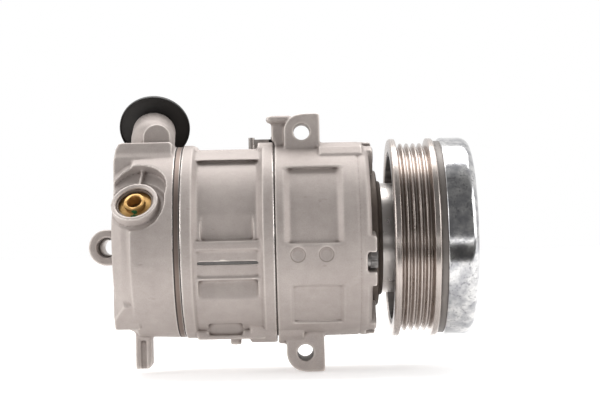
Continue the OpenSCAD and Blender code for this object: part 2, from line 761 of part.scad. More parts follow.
// Lug plate: turns with the shaft and carries the hinge arms
module lug_plate() {
    color([0.6, 0.6, 0.62]) difference() {
        union() {
            turned([[shaft_r + 0.02, lug_x], [41, lug_x], [42, lug_x + 1], [42, lug_x + 4], [30, lug_x + lug_t],
                    [shaft_r + 0.02, lug_x + lug_t]]);
            for (side = [-1, 1]) lug_arm(side);
        }
        // Relief on the light side
        for (a = [215, 325]) rod(lug_x - 1, 20, 6, a, 30);
        cross_rod([disc_x + pivot_fwd, pivot_up], -20, 20, pivot_r - 0.02);
    }
}

module lug_arm(side) {
    y0 = side > 0 ? arm_in : -arm_out;
    y1 = side > 0 ? arm_out : -arm_in;
    cross_rod([disc_x + pivot_fwd, pivot_up], y0, y1, arm_r);
    block([disc_x + pivot_fwd, y0, pivot_up - arm_r + inset], [lug_x + 1, y1, pivot_up + arm_r - inset]);
}

module hinge_pin() {
    color([0.75, 0.75, 0.77]) cross_rod([disc_x + pivot_fwd, pivot_up], -arm_out - 0.1, arm_out + 0.1, pivot_r - 0.02);
}

module return_spring() {
    color([0.5, 0.5, 0.55]) wire_spring(-54.4, 11.3, 10.1, 1, 4);
}

module start_spring() {
    color([0.5, 0.5, 0.55]) wire_spring(-83.9, 5.6, 9.6, 0.7, 2);
}

module spring_clip() {
    color([0.4, 0.4, 0.42]) snap_ring(-85.1, 1, 10.6, shaft_r - 0.55, 90);
}

// Hub: a three-armed plate on the shaft end
module hub_plate() {
    color([0.55, 0.55, 0.57]) difference() {
        union() {
            turned([[7.01, 17.6], [11.6, 17.6], [11.6, hub_x], [25, hub_x], [25, hub_x + hub_t],
                    [9, hub_x + hub_t], [9, hub_x + hub_t - 1], [7.01, hub_x + hub_t - 1]]);
            for (a = hub_arms) {
                around(a) block([hub_x, 20, -6.8], [hub_x + hub_t, 35, 6.8]);
                rod(hub_x, hub_t, 7, a, 35);
            }
        }
        for (a = hub_arms) rod(hub_x - 1, 8, rivet_r, a, rivet_pcr);
        for (a = hub_arms) rod(hub_x - 1, 8, 3.2, a - 30, 18);
    }
}

// Rivets that hold the leaves to the hub, with room behind for the travel
module hub_rivets() {
    color([0.72, 0.72, 0.74]) for (a = hub_arms) {
        rod(arm_x + 1.8, 1.4, 4, a, rivet_pcr);
        rod(arm_x + 3, 7.3, rivet_r - 0.05, a, rivet_pcr);
        rod(hub_x + hub_t, 1.3, 4, a, rivet_pcr);
    }
}

module armature_rivets() {
    color([0.72, 0.72, 0.74]) for (a = hub_arms) {
        rod(arm_x + 0.2, arm_t + leaf_t + 0.6, rivet_r, a + 60, rivet_pcr);
        rod(hub_x, 1.3, 4, a + 60, rivet_pcr);
    }
}

module hub_shims() {
    color([0.75, 0.75, 0.77]) {
        ring(16, 0.8, 10, 7.05);
        ring(16.85, 0.7, 10, 7.05);
    }
}

module hub_bolt() {
    color([0.6, 0.55, 0.4]) {
        translate([hub_x + hub_t - 1, 0, 0]) rotate([0, 90, 0]) cylinder(h = 1, r = 8, $fn = 64);
        translate([hub_x + hub_t, 0, 0]) rotate([0, 90, 0]) cylinder(h = 3.4, r = 5.8, $fn = 6);
        ring(12, hub_x + hub_t - 12.5, 2.55);
    }
}

module armature() {
    color([0.5, 0.5, 0.52]) difference() {
        ring(arm_x, arm_t, 48, 29.5);
        field_slots(arm_x - 1, 6, 40.5, 2.2, 3, 80, 20);
        for (a = hub_arms) rod(arm_x - 1, 8, rivet_r, a + 60, rivet_pcr);
        for (a = hub_arms) rod(arm_x - 1, 8, 5, a, rivet_pcr);
    }
}

// Three leaves: each is riveted to the armature at one end and to the hub at the other
module leaf_springs() {
    span = rivet_pcr * cos(30);
    color([0.7, 0.7, 0.72]) for (a = hub_arms) difference() {
        union() {
            for (b = [a, a + 60]) rod(hub_x - leaf_t, leaf_t - 0.02, 5, b, rivet_pcr);
            around(a + 30) block([hub_x - leaf_t, span - 4.6, -rivet_pcr / 2],
                                 [hub_x - 0.02, span + 4.6, rivet_pcr / 2]);
        }
        for (b = [a, a + 60]) rod(hub_x - 3, 6, rivet_r, b, rivet_pcr);
    }
}

// ---------------------------------------------------------------- swash plate and pistons

module swash_plate() {
    color([0.55, 0.53, 0.5]) difference() {
        union() {
            ring(disc_x - disc_t / 2, disc_t, disc_r);
            ring(disc_x - 7, 14, 13.4);
            // Hinge eye between the two arms
            cross_rod([disc_x + pivot_fwd, pivot_up], -arm_in + 0.3, arm_in - 0.3, 4.4);
            block([disc_x - 5.5, -arm_out - 0.4, 10], [disc_x - 3, arm_out + 0.4, 21.2]);
        }
        for (side = [-1, 1]) arm_pocket(side);
        cross_rod([disc_x + pivot_fwd, pivot_up], -20, 20, pivot_r + 0.04);
        shaft_window();
    }
}

// Room for the shaft over the whole tilt: a round bore, opened up and down towards its ends
module shaft_window() {
    half = 9;
    waist = shaft_r + 1;
    flare = waist + half * tan(tilt_max);
    ring(disc_x - half, 2 * half, shaft_r + 0.75);
    translate([disc_x, shaft_r + 0.2, 0]) rotate([90, 0, 0]) linear_extrude(2 * shaft_r + 0.4)
        polygon([[-half, flare], [0, waist], [half, shaft_r], [half, -flare], [0, -waist], [-half, -shaft_r]]);
}

// Room for an arm of the lug plate over the whole tilt
module arm_pocket(side) {
    y0 = side > 0 ? arm_in - 0.3 : -arm_out - 0.4;
    y1 = side > 0 ? arm_out + 0.4 : -arm_in + 0.3;
    cross_rod([disc_x + pivot_fwd, pivot_up], y0, y1, arm_r + 0.4 + inset);
    block([disc_x + pivot_fwd, y0, pivot_up - arm_r - 0.4],
          [disc_x + 40, y1, pivot_up + arm_r + 0.4]);
}

// Single-headed piston, open in the middle for the swash plate and its shoes
module piston(i) {
    a = bore_angles[i];
    r = bore_r - piston_gap;
    front = disc_x + ball_r + 3.5;
    back = block_rear + crown_gap;
    color([0.68, 0.68, 0.7]) difference() {
        rod(back, front - back, r, a, piston_pcr);
        // Ring groove round the crown
        difference() {
            rod(back + 3, 1.4, r + 4, a, piston_pcr);
            rod(back + 2, 4, r - 0.6, a, piston_pcr);
        }
        // Gap for the plate: narrow at the sockets, wider towards the edges
        intersection() {
            translate([disc_x, piston_pcr * cos(a), piston_pcr * sin(a)]) rotate([0, 90, 0])
                rotate_extrude($fn = 96) polygon([[0, -socket_face], [7, -socket_face], [22, -socket_face - 5.5],
                [22, socket_face + 5.5], [7, socket_face], [0, socket_face]]);
            ring(disc_x - 30, 60, 41.8);
        }
        translate([disc_x, piston_pcr * cos(a), piston_pcr * sin(a)])
            sphere(r = ball_r + socket_gap, $fn = 96);
        // Inner side trimmed clear of the lug arms
        ring(disc_x + 4, 30, 25.3);
        // Lightening hole in the skirt
        rod(disc_x - 34, 18, 9.5, a, piston_pcr);
    }
}

// Two half-round shoes, one on each side of the swash plate
module shoes(i) {
    a = bore_angles[i];
    color([0.8, 0.8, 0.82]) translate([disc_x, piston_pcr * cos(a), piston_pcr * sin(a)])
        for (side = [-1, 1]) intersection() {
            sphere(r = ball_r, $fn = 96);
            translate([side * (disc_t / 2 + shoe_gap + 10), 0, 0]) cube([20, 30, 30], center = true);
        }
}

module piston_1() { piston(0); }
module piston_2() { piston(1); }
module piston_3() { piston(2); }
module piston_4() { piston(3); }
module piston_5() { piston(4); }
module shoes_1() { shoes(0); }
module shoes_2() { shoes(1); }
module shoes_3() { shoes(2); }
module shoes_4() { shoes(3); }
module shoes_5() { shoes(4); }

front_housing();
housing_gasket();
cylinder_block();
block_gasket();
suction_reeds();
valve_plate();
discharge_reeds();
reed_retainer();
cover_gasket();
rear_cover();
through_bolts();
bolt_washers();
dowel_pins();
dust_plate();
front_needle_bearing();
shaft_seal();
nose_circlips();
thrust_bearing();
rear_needle_bearing();
bearing_inner_race();
coil_shell();
coil_winding();
rear_ear_bush();
harness_clip();
relief_valve();
control_valve_body();
control_valve_rings();
control_valve_circlip();
control_valve_rod();
suction_cap();
discharge_cap();
grooved_pulley();
rotor_drum();
friction_ring();
bearing_outer_race();
bearing_balls();
drive_shaft();
lug_plate();
hinge_pin();
return_spring();
start_spring();
spring_clip();
hub_plate();
hub_rivets();
hub_shims();
hub_bolt();
armature();
leaf_springs();
armature_rivets();
swash_plate();
piston_1();
piston_2();
piston_3();
piston_4();
piston_5();
shoes_1();
shoes_2();
shoes_3();
shoes_4();
shoes_5();
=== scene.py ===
# %% [markdown]
# # An air conditioning compressor, with its clutch pulley
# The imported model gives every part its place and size. This file gives each part its surface: soft cast
# edges, turned steel, blotchy zinc plate, moulded caps. Each cell makes one piece or one finish.

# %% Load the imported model
import json
import math
import bmesh
import bpy
import numpy as np
from mathutils import Matrix, Vector


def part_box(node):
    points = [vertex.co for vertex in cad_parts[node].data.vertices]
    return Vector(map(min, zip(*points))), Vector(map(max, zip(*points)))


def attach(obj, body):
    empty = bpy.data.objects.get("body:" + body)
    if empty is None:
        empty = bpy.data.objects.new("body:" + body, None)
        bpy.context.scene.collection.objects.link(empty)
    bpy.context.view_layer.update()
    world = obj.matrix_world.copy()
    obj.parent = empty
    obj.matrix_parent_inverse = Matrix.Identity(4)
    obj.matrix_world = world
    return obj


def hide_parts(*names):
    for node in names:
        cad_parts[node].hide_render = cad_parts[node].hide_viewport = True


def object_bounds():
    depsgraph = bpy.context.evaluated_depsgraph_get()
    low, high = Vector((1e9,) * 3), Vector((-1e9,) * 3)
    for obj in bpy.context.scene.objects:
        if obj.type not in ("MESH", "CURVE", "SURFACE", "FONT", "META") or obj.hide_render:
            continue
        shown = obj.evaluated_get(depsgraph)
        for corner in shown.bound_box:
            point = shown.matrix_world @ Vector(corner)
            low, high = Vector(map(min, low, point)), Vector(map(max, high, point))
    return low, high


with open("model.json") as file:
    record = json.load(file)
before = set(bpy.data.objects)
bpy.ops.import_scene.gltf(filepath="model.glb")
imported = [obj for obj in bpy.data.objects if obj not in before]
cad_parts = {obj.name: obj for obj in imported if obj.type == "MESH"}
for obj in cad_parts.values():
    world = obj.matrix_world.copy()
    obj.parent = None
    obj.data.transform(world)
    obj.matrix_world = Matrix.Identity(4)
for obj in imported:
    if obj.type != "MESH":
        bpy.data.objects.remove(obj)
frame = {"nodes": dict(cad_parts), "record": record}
cad_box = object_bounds()
nodes = frame["nodes"]
MM = 0.001

# %% [markdown]
# ## Camera
# The camera looks at the side of the compressor, almost square on, through a long lens. It sits level with
# the shaft, turned a little up and to the right, and rolled by about a degree. It is the fixed point that
# the light is judged from, so it is made before any finish.

# %% Camera
CAMERA_AT = Vector((-66.2, -862, 1.3)) * MM
LENS = 92.4
TURN_RIGHT, TURN_UP, ROLL = (math.radians(a) for a in (0.30, 1.38, 1.27))

forward = Vector((math.sin(TURN_RIGHT), math.cos(TURN_RIGHT), math.tan(TURN_UP))).normalized()
level_right = forward.cross(Vector((0, 0, 1))).normalized()
level_up = level_right.cross(forward)
up = level_up * math.cos(ROLL) + level_right * math.sin(ROLL)
right = forward.cross(up)
camera = bpy.data.objects.new("Camera", bpy.data.cameras.new("Camera"))
camera.data.lens = LENS
camera.data.sensor_width = 36
turned = Matrix((right, up, -forward)).transposed().to_4x4()
camera.matrix_world = Matrix.Translation(CAMERA_AT) @ turned
bpy.context.scene.collection.objects.link(camera)
bpy.context.scene.camera = camera
print("camera looks along", tuple(round(v, 3) for v in forward))

# %% [markdown]
# ## Shader maths
# A finish is a formula: some noise times a mask, mixed between two colours. `Value` wraps a node's output
# and overloads + - * /, so the formula can be written as one. `Finish` makes any other node.


# %% Shader helpers
class Value:
    def __init__(self, finish, socket):
        self.finish, self.socket = finish, socket

    def _math(self, operation, a, b):
        return self.finish.node("ShaderNodeMath", {"operation": operation}, {0: a, 1: b})

    def __add__(self, other):
        return self._math("ADD", self, other)

    def __sub__(self, other):
        return self._math("SUBTRACT", self, other)

    def __rsub__(self, other):
        return self._math("SUBTRACT", other, self)

    def __mul__(self, other):
        return self._math("MULTIPLY", self, other)

    __radd__ = __add__
    __rmul__ = __mul__

    def between(self, low, high):
        """0 below low, 1 above high, smooth in between; the other way round when low is above high."""
        settings = {"interpolation_type": "SMOOTHSTEP"}
        if low > high:
            return 1 - self.finish.node("ShaderNodeMapRange", settings, {0: self, 1: high, 2: low})
        return self.finish.node("ShaderNodeMapRange", settings, {0: self, 1: low, 2: high})


class Finish:
    """A material being made. Lengths in it are in millimetres."""

    def __init__(self, name):
        self.material = bpy.data.materials.new(name)
        self.material.use_nodes = True
        self.tree = self.material.node_tree
        self.shader = self.tree.nodes["Principled BSDF"]
        coordinate = self.node("ShaderNodeTexCoord", out="Object")
        self.place = self.node("ShaderNodeVectorMath", {"operation": "SCALE"},
                               {0: coordinate, "Scale": 1 / MM})

    def node(self, kind, settings=None, values=None, out=0):
        made = self.tree.nodes.new(kind)
        for key, value in (settings or {}).items():
            setattr(made, key, value)
        for key, value in (values or {}).items():
            if isinstance(value, Value):
                self.tree.links.new(value.socket, made.inputs[key])
            else:
                made.inputs[key].default_value = value
        return Value(self, made.outputs[out])

    def axis(self, name):
        return self.node("ShaderNodeSeparateXYZ", values={0: self.place}, out=name)

    def radius(self):
        """Distance from the shaft axis."""
        flat = self.node("ShaderNodeVectorMath", {"operation": "MULTIPLY"},
                         {0: self.place, 1: (0, 1, 1)})
        return self.node("ShaderNodeVectorMath", {"operation": "LENGTH"}, {0: flat}, out="Value")

    def distance(self, point):
        return self.node("ShaderNodeVectorMath", {"operation": "DISTANCE"}, {0: self.place, 1: point},
                         out="Value")

    def noise(self, size, detail=2.0, stretch=(1, 1, 1), place=None):
        """Smooth noise from 0 to 1, whose blobs are about size mm across."""
        scaled = self.node("ShaderNodeVectorMath", {"operation": "MULTIPLY"},
                           {0: place or self.place, 1: [s / size for s in stretch]})
        return self.node("ShaderNodeTexNoise", values={"Vector": scaled, "Scale": 1.0, "Detail": detail})

    def turned_noise(self, size, detail=1.0):
        """Noise that is the same all the way round the shaft axis, as a lathe tool leaves it."""
        across = self.node("ShaderNodeCombineXYZ", values={0: self.axis("X"), 1: self.radius()})
        return self.noise(size, detail, place=across)

    def mix(self, share, a, b):
        return self.node("ShaderNodeMix", {"data_type": "RGBA"}, {0: share, 6: a, 7: b}, out=2)

    def bump(self, height, depth):
        """Adds relief on top of what is there; depth is in mm."""
        values = {"Height": height, "Distance": depth * MM, "Strength": 1.0}
        before = self.shader.inputs["Normal"].links
        if before:
            values["Normal"] = Value(self, before[0].from_socket)
        self.set(Normal=self.node("ShaderNodeBump", values=values))

    def set(self, **values):
        for key, value in values.items():
            socket = self.shader.inputs[key.replace("_", " ")]
            if isinstance(value, Value):
                self.tree.links.new(value.socket, socket)
            else:
                socket.default_value = value


def colour(r, g, b):
    """A colour as a screen shows it, 0 to 255, turned into light values."""
    return tuple(((c / 255) + 0.055) ** 2.4 / 1.055 ** 2.4 for c in (r, g, b)) + (1,)


# %% [markdown]
# ## Die-cast aluminium
# The three housings are pressure die castings that were tumbled or blasted: a warm light grey with a fine
# sandy grain, cloudy patches where the metal froze, brighter edges that are partly rubbed wear and partly a
# painted highlight, and painted shade darkening the hollows. A cutter then faced the joints, the nose and the
# bores.
# The piece's own `cut` attribute says where, and turns the grain into rings.
# Two ejector pins of the die have left round outlines on the near side.


# %% Cast aluminium
EJECTOR_R = 3.9
EJECTOR_MARKS = [(-63.6, -52, -8), (-48.6, -52, -8)]


def cast_aluminium():
    f = Finish("cast_aluminium")
    clouds = f.noise(26, 2)
    patches = f.noise(4.5, 4)
    grain = f.noise(0.42, 2)
    cut = f.node("ShaderNodeAttribute", {"attribute_name": "cut"}, out="Fac")
    edge_curvature = f.node("ShaderNodeNewGeometry", out="Pointiness")
    base = f.mix(clouds * 0.5 + patches * 0.5, colour(150, 140, 135), colour(193, 184, 179))
    base = f.mix(grain.between(0.3, 0.8) * 0.3, base, colour(132, 122, 117))
    # Painted highlight, partly rubbed wear: convex edges are lightened.
    base = f.mix(edge_curvature.between(0.505, 0.56) * 0.75, base, colour(228, 220, 213))
    # Painted shade: hollows and inside corners are darkened.
    base = f.mix(edge_curvature.between(0.494, 0.45) * 0.7, base, colour(96, 84, 78))
    smudge = f.noise(7, 5, (1, 1, 2.2)).between(0.68, 0.76) * 0.28
    base = f.mix(smudge, base, colour(118, 106, 100))
    for at in EJECTOR_MARKS:
        off_ring = f.distance(at) - EJECTOR_R
        ring = off_ring.between(-0.45, -0.1) * off_ring.between(0.45, 0.1)
        base = f.mix(ring * 0.55, base, colour(104, 92, 86))
    base = f.mix(cut, base, colour(196, 190, 186))
    f.set(Base_Color=base, Metallic=0.5 + cut * 0.4)
    f.set(Roughness=0.5 + patches * 0.16 - edge_curvature.between(0.505, 0.56) * 0.12 - cut * 0.28)
    f.bump(patches, 0.1)
    f.bump(grain * (1 - cut), 0.045)
    f.bump(f.turned_noise(0.25) * cut, 0.01)
    return f.material


# %% [markdown]
# ## Bright metals
# Turned steel has fine rings round the axis. Zinc plate on a pressed shell is smooth but blotchy, with
# crazed dark marks. One recipe serves for most steels: only the colour, the gloss and the rings differ.


# %% Steel finishes
def turned_steel(name, light, dark, gloss, ring_depth=0.012, ring_size=0.3):
    f = Finish(name)
    rings = f.turned_noise(ring_size, 2)
    haze = f.noise(9, 3)
    f.set(Base_Color=f.mix(rings * 0.6 + haze * 0.4, dark, light), Metallic=1.0)
    f.set(Roughness=gloss + rings * 0.14 + haze * 0.1)
    f.bump(rings, ring_depth)
    return f.material


def zinc_plate():
    f = Finish("zinc_plate")
    blots = f.noise(6, 6)
    specks = f.noise(1.1, 4)
    veins = f.noise(9, 6, (1, 1, 0.6))
    crazed = (veins.between(0.47, 0.5) - veins.between(0.5, 0.53)) * specks.between(0.4, 0.6)
    base = f.mix(blots.between(0.3, 0.7), colour(156, 156, 159), colour(208, 207, 206))
    base = f.mix(specks.between(0.5, 0.75) * 0.35, base, colour(112, 112, 116))
    base = f.mix(crazed * 0.45, base, colour(96, 95, 99))
    f.set(Base_Color=base, Metallic=1.0, Roughness=0.07 + blots * 0.1 + specks * 0.08)
    f.bump(blots * 0.6 + specks * 0.4, 0.018)
    return f.material


def dark_coat(name, light, dark, rough=0.5):
    f = Finish(name)
    patches = f.noise(8, 4)
    grain = f.noise(0.5, 2)
    edge_curvature = f.node("ShaderNodeNewGeometry", out="Pointiness")
    base = f.mix(patches, dark, light)
    base = f.mix(edge_curvature.between(0.51, 0.6) * 0.5, base, colour(150, 143, 138))
    f.set(Base_Color=base, Metallic=0.5, Roughness=rough + grain * 0.15)
    f.bump(grain, 0.03)
    return f.material


# %% [markdown]
# ## Brass, moulded plastic and rubber
# The valve is turned brass, dulled by handling, with a dab of green marking paint from the final test.
# The caps are soft black mouldings, so they get a faint orange-peel skin and a dusty bloom.


# %% Brass, plastic and rubber finishes
def brass(paint_at):
    f = Finish("valve_brass")
    patches = f.noise(3, 4)
    base = f.mix(patches, colour(168, 130, 76), colour(212, 172, 112))
    paint = f.distance(paint_at) + f.noise(1.6, 3) * 4
    base = f.mix(paint.between(4.6, 4.0), base, colour(20, 84, 46))
    f.set(Base_Color=base, Metallic=paint.between(4.0, 4.6) * 0.85, Roughness=0.3 + patches * 0.16)
    f.bump(patches, 0.03)
    return f.material


def moulded(name, light, dark, rough, peel=0.02):
    f = Finish(name)
    bloom = f.noise(7, 4)
    skin = f.noise(0.6, 2)
    f.set(Base_Color=f.mix(bloom, dark, light), Roughness=rough + bloom * 0.16)
    f.bump(skin, peel)
    return f.material


def tipped_steel(tip_from):
    """Bright steel strip whose end, beyond tip_from along X, is dipped in black plastic."""
    f = Finish("tipped_steel")
    tip = f.axis("X").between(tip_from - 0.2, tip_from + 0.2)
    haze = f.noise(3, 3)
    steel = f.mix(haze, colour(150, 144, 140), colour(204, 199, 195))
    f.set(Base_Color=f.mix(tip, steel, colour(24, 22, 21)), Metallic=1 - tip, Roughness=0.3 + haze * 0.2)
    return f.material


def wound_copper():
    f = Finish("wound_copper")
    wires = f.turned_noise(0.5, 0)
    f.set(Base_Color=f.mix(wires, colour(96, 40, 18), colour(176, 92, 48)), Metallic=0.7, Roughness=0.35)
    f.bump(wires, 0.1)
    return f.material


# %% [markdown]
# ## One finish for every slot
# The record names a material slot for each part. Here each slot gets its finish, and every CAD part that
# stays in view takes it.

# %% Give the finishes to the parts
clip_low, clip_high = (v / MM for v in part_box("control_valve_circlip"))
VALVE_TILT, PAINT_DOWN = math.radians(40), 7.5
paint_spot = (clip_low + clip_high) / 2 - Vector((0, math.sin(VALVE_TILT), math.cos(VALVE_TILT))) * PAINT_DOWN
finishes = {
    "cast_aluminium": cast_aluminium(),
    "machined_aluminium": turned_steel("machined_aluminium", colour(214, 208, 203),
                                       colour(178, 171, 166), 0.3),
    "pulley_steel": turned_steel("pulley_steel", colour(206, 197, 191), colour(156, 146, 140), 0.16),
    "zinc_steel": zinc_plate(),
    "dark_steel": dark_coat("dark_steel", colour(132, 120, 111), colour(98, 88, 81)),
    "bearing_steel": turned_steel("bearing_steel", colour(206, 206, 208), colour(176, 176, 180),
                                  0.12, 0.004),
    "bolt_steel": turned_steel("bolt_steel", colour(168, 165, 163), colour(112, 108, 106), 0.22),
    "spring_steel": turned_steel("spring_steel", colour(184, 180, 176), colour(138, 134, 131), 0.28),
    "gasket_coat": moulded("gasket_coat", colour(66, 56, 52), colour(44, 36, 33), 0.6),
    "plate_steel": turned_steel("plate_steel", colour(146, 132, 124), colour(112, 98, 91),
                                0.42, 0.02, 0.6),
    "valve_brass": brass(paint_spot),
    "black_rubber": moulded("black_rubber", colour(40, 39, 39), colour(22, 21, 21), 0.6),
    "black_cap": moulded("black_cap", colour(38, 35, 33), colour(21, 19, 18), 0.42),
    "copper_wire": wound_copper(),
    "piston_aluminium": turned_steel("piston_aluminium", colour(196, 196, 198),
                                     colour(160, 160, 163), 0.3),
    "swash_iron": turned_steel("swash_iron", colour(150, 144, 138), colour(112, 106, 101), 0.35),
}
slot_of = {part["node"]: part["material_slot"] for part in frame["record"]["subparts"]}
body_of = {n: b for b, members in frame["record"]["behaviour"]["bodies"].items() for n in members}


def give_finish(piece, slot):
    piece.data.materials.clear()
    piece.data.materials.append(finishes[slot])


for name, node in nodes.items():
    give_finish(node, slot_of[name])
CLIP_TIP = 3.4  # length of the dipped end
nodes["harness_clip"].data.materials[0] = tipped_steel(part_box("harness_clip")[1].x / MM - CLIP_TIP)
nodes["rotor_drum"].data.materials[0] = dark_coat("drum_steel", colour(86, 80, 76), colour(58, 53, 50), 0.35)
print("finishes:", len(finishes))

# %% [markdown]
# ## Making pieces
# `new_piece` turns points and faces into an object at the origin. `stand_in` lets a finished piece take the
# place of its CAD part: the same body, the same slot. `applied` turns live modifiers into plain mesh.


# %% Piece helpers
def new_piece(name, mesh):
    piece = bpy.data.objects.new(name, mesh)
    bpy.context.scene.collection.objects.link(piece)
    return piece


def applied(piece):
    evaluated = piece.evaluated_get(bpy.context.evaluated_depsgraph_get())
    mesh = bpy.data.meshes.new_from_object(evaluated)
    piece.modifiers.clear()
    piece.data = mesh
    return piece


def stand_in(piece, *cad_nodes):
    """piece takes the place of these CAD parts, which are on one body."""
    slot = slot_of[cad_nodes[0]]
    give_finish(piece, slot)
    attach(piece, body_of[cad_nodes[0]])
    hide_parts(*cad_nodes)
    print(piece.name, "faces:", len(piece.data.polygons))
    return piece


def merged_mesh(node, name):
    """A copy of a CAD part's mesh with its loose triangles joined."""
    mesh = nodes[node].data.copy()
    mesh.name = name
    made = bmesh.new()
    made.from_mesh(mesh)
    bmesh.ops.remove_doubles(made, verts=made.verts, dist=0.002 * MM)
    made.to_mesh(mesh)
    made.free()
    if "custom_normal" in mesh.attributes:
        mesh.attributes.remove(mesh.attributes["custom_normal"])
    return mesh


def smooth_by_angle(mesh, degrees=32):
    mesh.shade_smooth()
    mesh.set_sharp_from_angle(angle=math.radians(degrees))


# %% [markdown]
# ## Cast pieces
# A casting has no sharp corner except where a cutter has been. So each housing is rebuilt as a fine even
# skin (a voxel remesh), and that skin is relaxed a little: corners turn into fillets about a millimetre
# wide. Points on machined faces are held still, so the joints and the nose stay crisp. Then Decimate takes
# triangles away where the skin is flat.


# %% Cast pieces
PULL = 0.5  # share of the way to its neighbours' middle that a point moves in one round


def relax(mesh, loose, rounds):
    """Moves each point towards the middle of its neighbours, by its share in loose."""
    count = len(mesh.vertices)
    place = np.empty(count * 3)
    mesh.vertices.foreach_get("co", place)
    place = place.reshape(-1, 3)
    ends = np.empty(len(mesh.edges) * 2, int)
    mesh.edges.foreach_get("vertices", ends)
    a, b = ends.reshape(-1, 2).T
    degree = np.bincount(a, minlength=count) + np.bincount(b, minlength=count)
    for _ in range(rounds):
        middle = np.stack([np.bincount(a, place[b, k], count) + np.bincount(b, place[a, k], count)
                           for k in range(3)], axis=1) / degree[:, None]
        place += (middle - place) * (PULL * loose)[:, None]
    mesh.vertices.foreach_set("co", place.ravel())
    mesh.update()


MOST_TRIANGLES = 185000  # for one casting


def cut_share(mesh, cut_faces):
    place = np.empty(len(mesh.vertices) * 3)
    mesh.vertices.foreach_get("co", place)
    x, y, z = place.reshape(-1, 3).T / MM
    return cut_faces(x, np.hypot(y, z)).astype(float)


def casting(node, name, voxel, rounds, cut_faces):
    """cut_faces(x, r) is true where a cutter has been; x is along the shaft and r out from it, in mm."""
    piece = new_piece(name, merged_mesh(node, name))
    remesh = piece.modifiers.new("skin", "REMESH")
    remesh.mode = "VOXEL"
    remesh.voxel_size = voxel * MM
    applied(piece)
    relax(piece.data, 1 - cut_share(piece.data, cut_faces), rounds)
    thin = piece.modifiers.new("thin", "DECIMATE")
    thin.ratio = min(1, MOST_TRIANGLES / (2 * len(piece.data.polygons)))  # every face is a quad here
    applied(piece)
    mesh = piece.data
    cut = cut_share(mesh, cut_faces)
    mesh.attributes.new("cut", "FLOAT", "POINT").data.foreach_set("value", cut.astype(np.float32))
    mesh.shade_smooth()
    return stand_in(piece, node)


FACED = 0.7  # depth of the band behind a joint face that keeps its sharp edge
front_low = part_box("front_housing")[0] / MM
block_low, block_high = (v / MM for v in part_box("cylinder_block"))
cover_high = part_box("rear_cover")[1] / MM
dust_low, dust_high = (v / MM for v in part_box("dust_plate"))


def front_cuts(x, r):
    nose = (r < dust_high.z) & (x > dust_low.x - 0.5)
    return nose | (x < front_low.x + FACED)


def block_cuts(x, r):
    return (x < block_low.x + FACED) | (x > block_high.x - FACED)


def cover_cuts(x, r):
    return x > cover_high.x - FACED


casting("front_housing", "front_casting", voxel=0.62, rounds=4, cut_faces=front_cuts)
casting("cylinder_block", "cylinder_casting", voxel=0.62, rounds=4, cut_faces=block_cuts)
casting("rear_cover", "rear_casting", voxel=0.6, rounds=4, cut_faces=cover_cuts)

# %% [markdown]
# ## Turned pieces
# The pulley, the clutch shell and the caps are round about one axis, so each is a profile spun round it.
# `rounded` puts a small arc on every corner of the profile, because a perfectly sharp edge never glints.


# %% Turned pieces
def rounded(profile, radius, steps=3):
    """profile is a closed loop of (along, out) points; each corner becomes an arc no bigger than radius."""
    points = [Vector(p) for p in profile]
    made = []
    for i, corner in enumerate(points):
        before, after = points[i - 1] - corner, points[(i + 1) % len(points)] - corner
        if corner.y < 1e-6 or before.length < 1e-6 or after.length < 1e-6:
            made.append(corner)
            continue
        trim = min(radius, before.length * 0.45, after.length * 0.45)
        start, end = corner + before.normalized() * trim, corner + after.normalized() * trim
        for k in range(steps + 1):
            t = k / steps
            made.append(start.lerp(corner, t).lerp(corner.lerp(end, t), t))
    return made


def spun(name, profile, segments=256, axis="X"):
    """Spins a closed profile of (along, out) points, in mm, about the X or Y axis."""
    count = len(profile)
    along = np.array([p[0] for p in profile])
    out = np.array([p[1] for p in profile])
    turn = np.linspace(0, 2 * math.pi, segments, endpoint=False)[:, None]
    a, b = out * np.cos(turn), out * np.sin(turn)
    lengthwise = np.broadcast_to(along, a.shape)
    order = {"X": (lengthwise, a, b), "Y": (a, lengthwise, b)}[axis]
    points = np.stack(order, axis=-1).reshape(-1, 3) * MM
    faces = [(s * count + i, s * count + (i + 1) % count,
              (s + 1) % segments * count + (i + 1) % count, (s + 1) % segments * count + i)
             for s in range(segments) for i in range(count)]
    mesh = bpy.data.meshes.new(name)
    mesh.from_pydata(points.tolist(), [], faces)
    made = bmesh.new()
    made.from_mesh(mesh)
    bmesh.ops.remove_doubles(made, verts=made.verts, dist=0.0005 * MM)
    bmesh.ops.dissolve_degenerate(made, edges=made.edges, dist=0.0002 * MM)
    bmesh.ops.recalc_face_normals(made, faces=made.faces)
    made.to_mesh(mesh)
    made.free()
    smooth_by_angle(mesh, 40)
    return new_piece(name, mesh)


# %% [markdown]
# ### Grooved pulley
# Five vee grooves with a rib pitch of 3.56 mm, between two plain shoulders that stand above the ribs and
# keep the belt on. The crests are narrow flats and the roots are rounded, which gives the stripes of light.

# %% Grooved pulley
RIB_PITCH, RIB_COUNT, GROOVE_DEEP, CREST_DROP = 3.56, 5, 5.4, 2.6
rim_low, rim_high = (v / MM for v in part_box("grooved_pulley"))
rim_r = rim_high.z
rim_inner = 48.05
HALF_CREST, HALF_ROOT = 0.35, 0.3
first = -RIB_COUNT * RIB_PITCH / 2
groove_points = []
for i in range(RIB_COUNT):
    x = first + i * RIB_PITCH
    last = i == RIB_COUNT - 1
    start = (x, rim_r) if i == 0 else (x + HALF_CREST, rim_r - CREST_DROP)
    end = (x + RIB_PITCH, rim_r) if last else (x + RIB_PITCH - HALF_CREST, rim_r - CREST_DROP)
    groove_points += [start, (x + RIB_PITCH / 2 - HALF_ROOT, rim_r - GROOVE_DEEP),
                      (x + RIB_PITCH / 2 + HALF_ROOT, rim_r - GROOVE_DEEP), end]
pulley_profile = ([(rim_low.x, rim_inner), (rim_low.x, rim_r - 1), (rim_low.x + 0.9, rim_r)] + groove_points
                  + [(rim_high.x - 0.9, rim_r), (rim_high.x, rim_r - 0.9), (rim_high.x, rim_inner)])
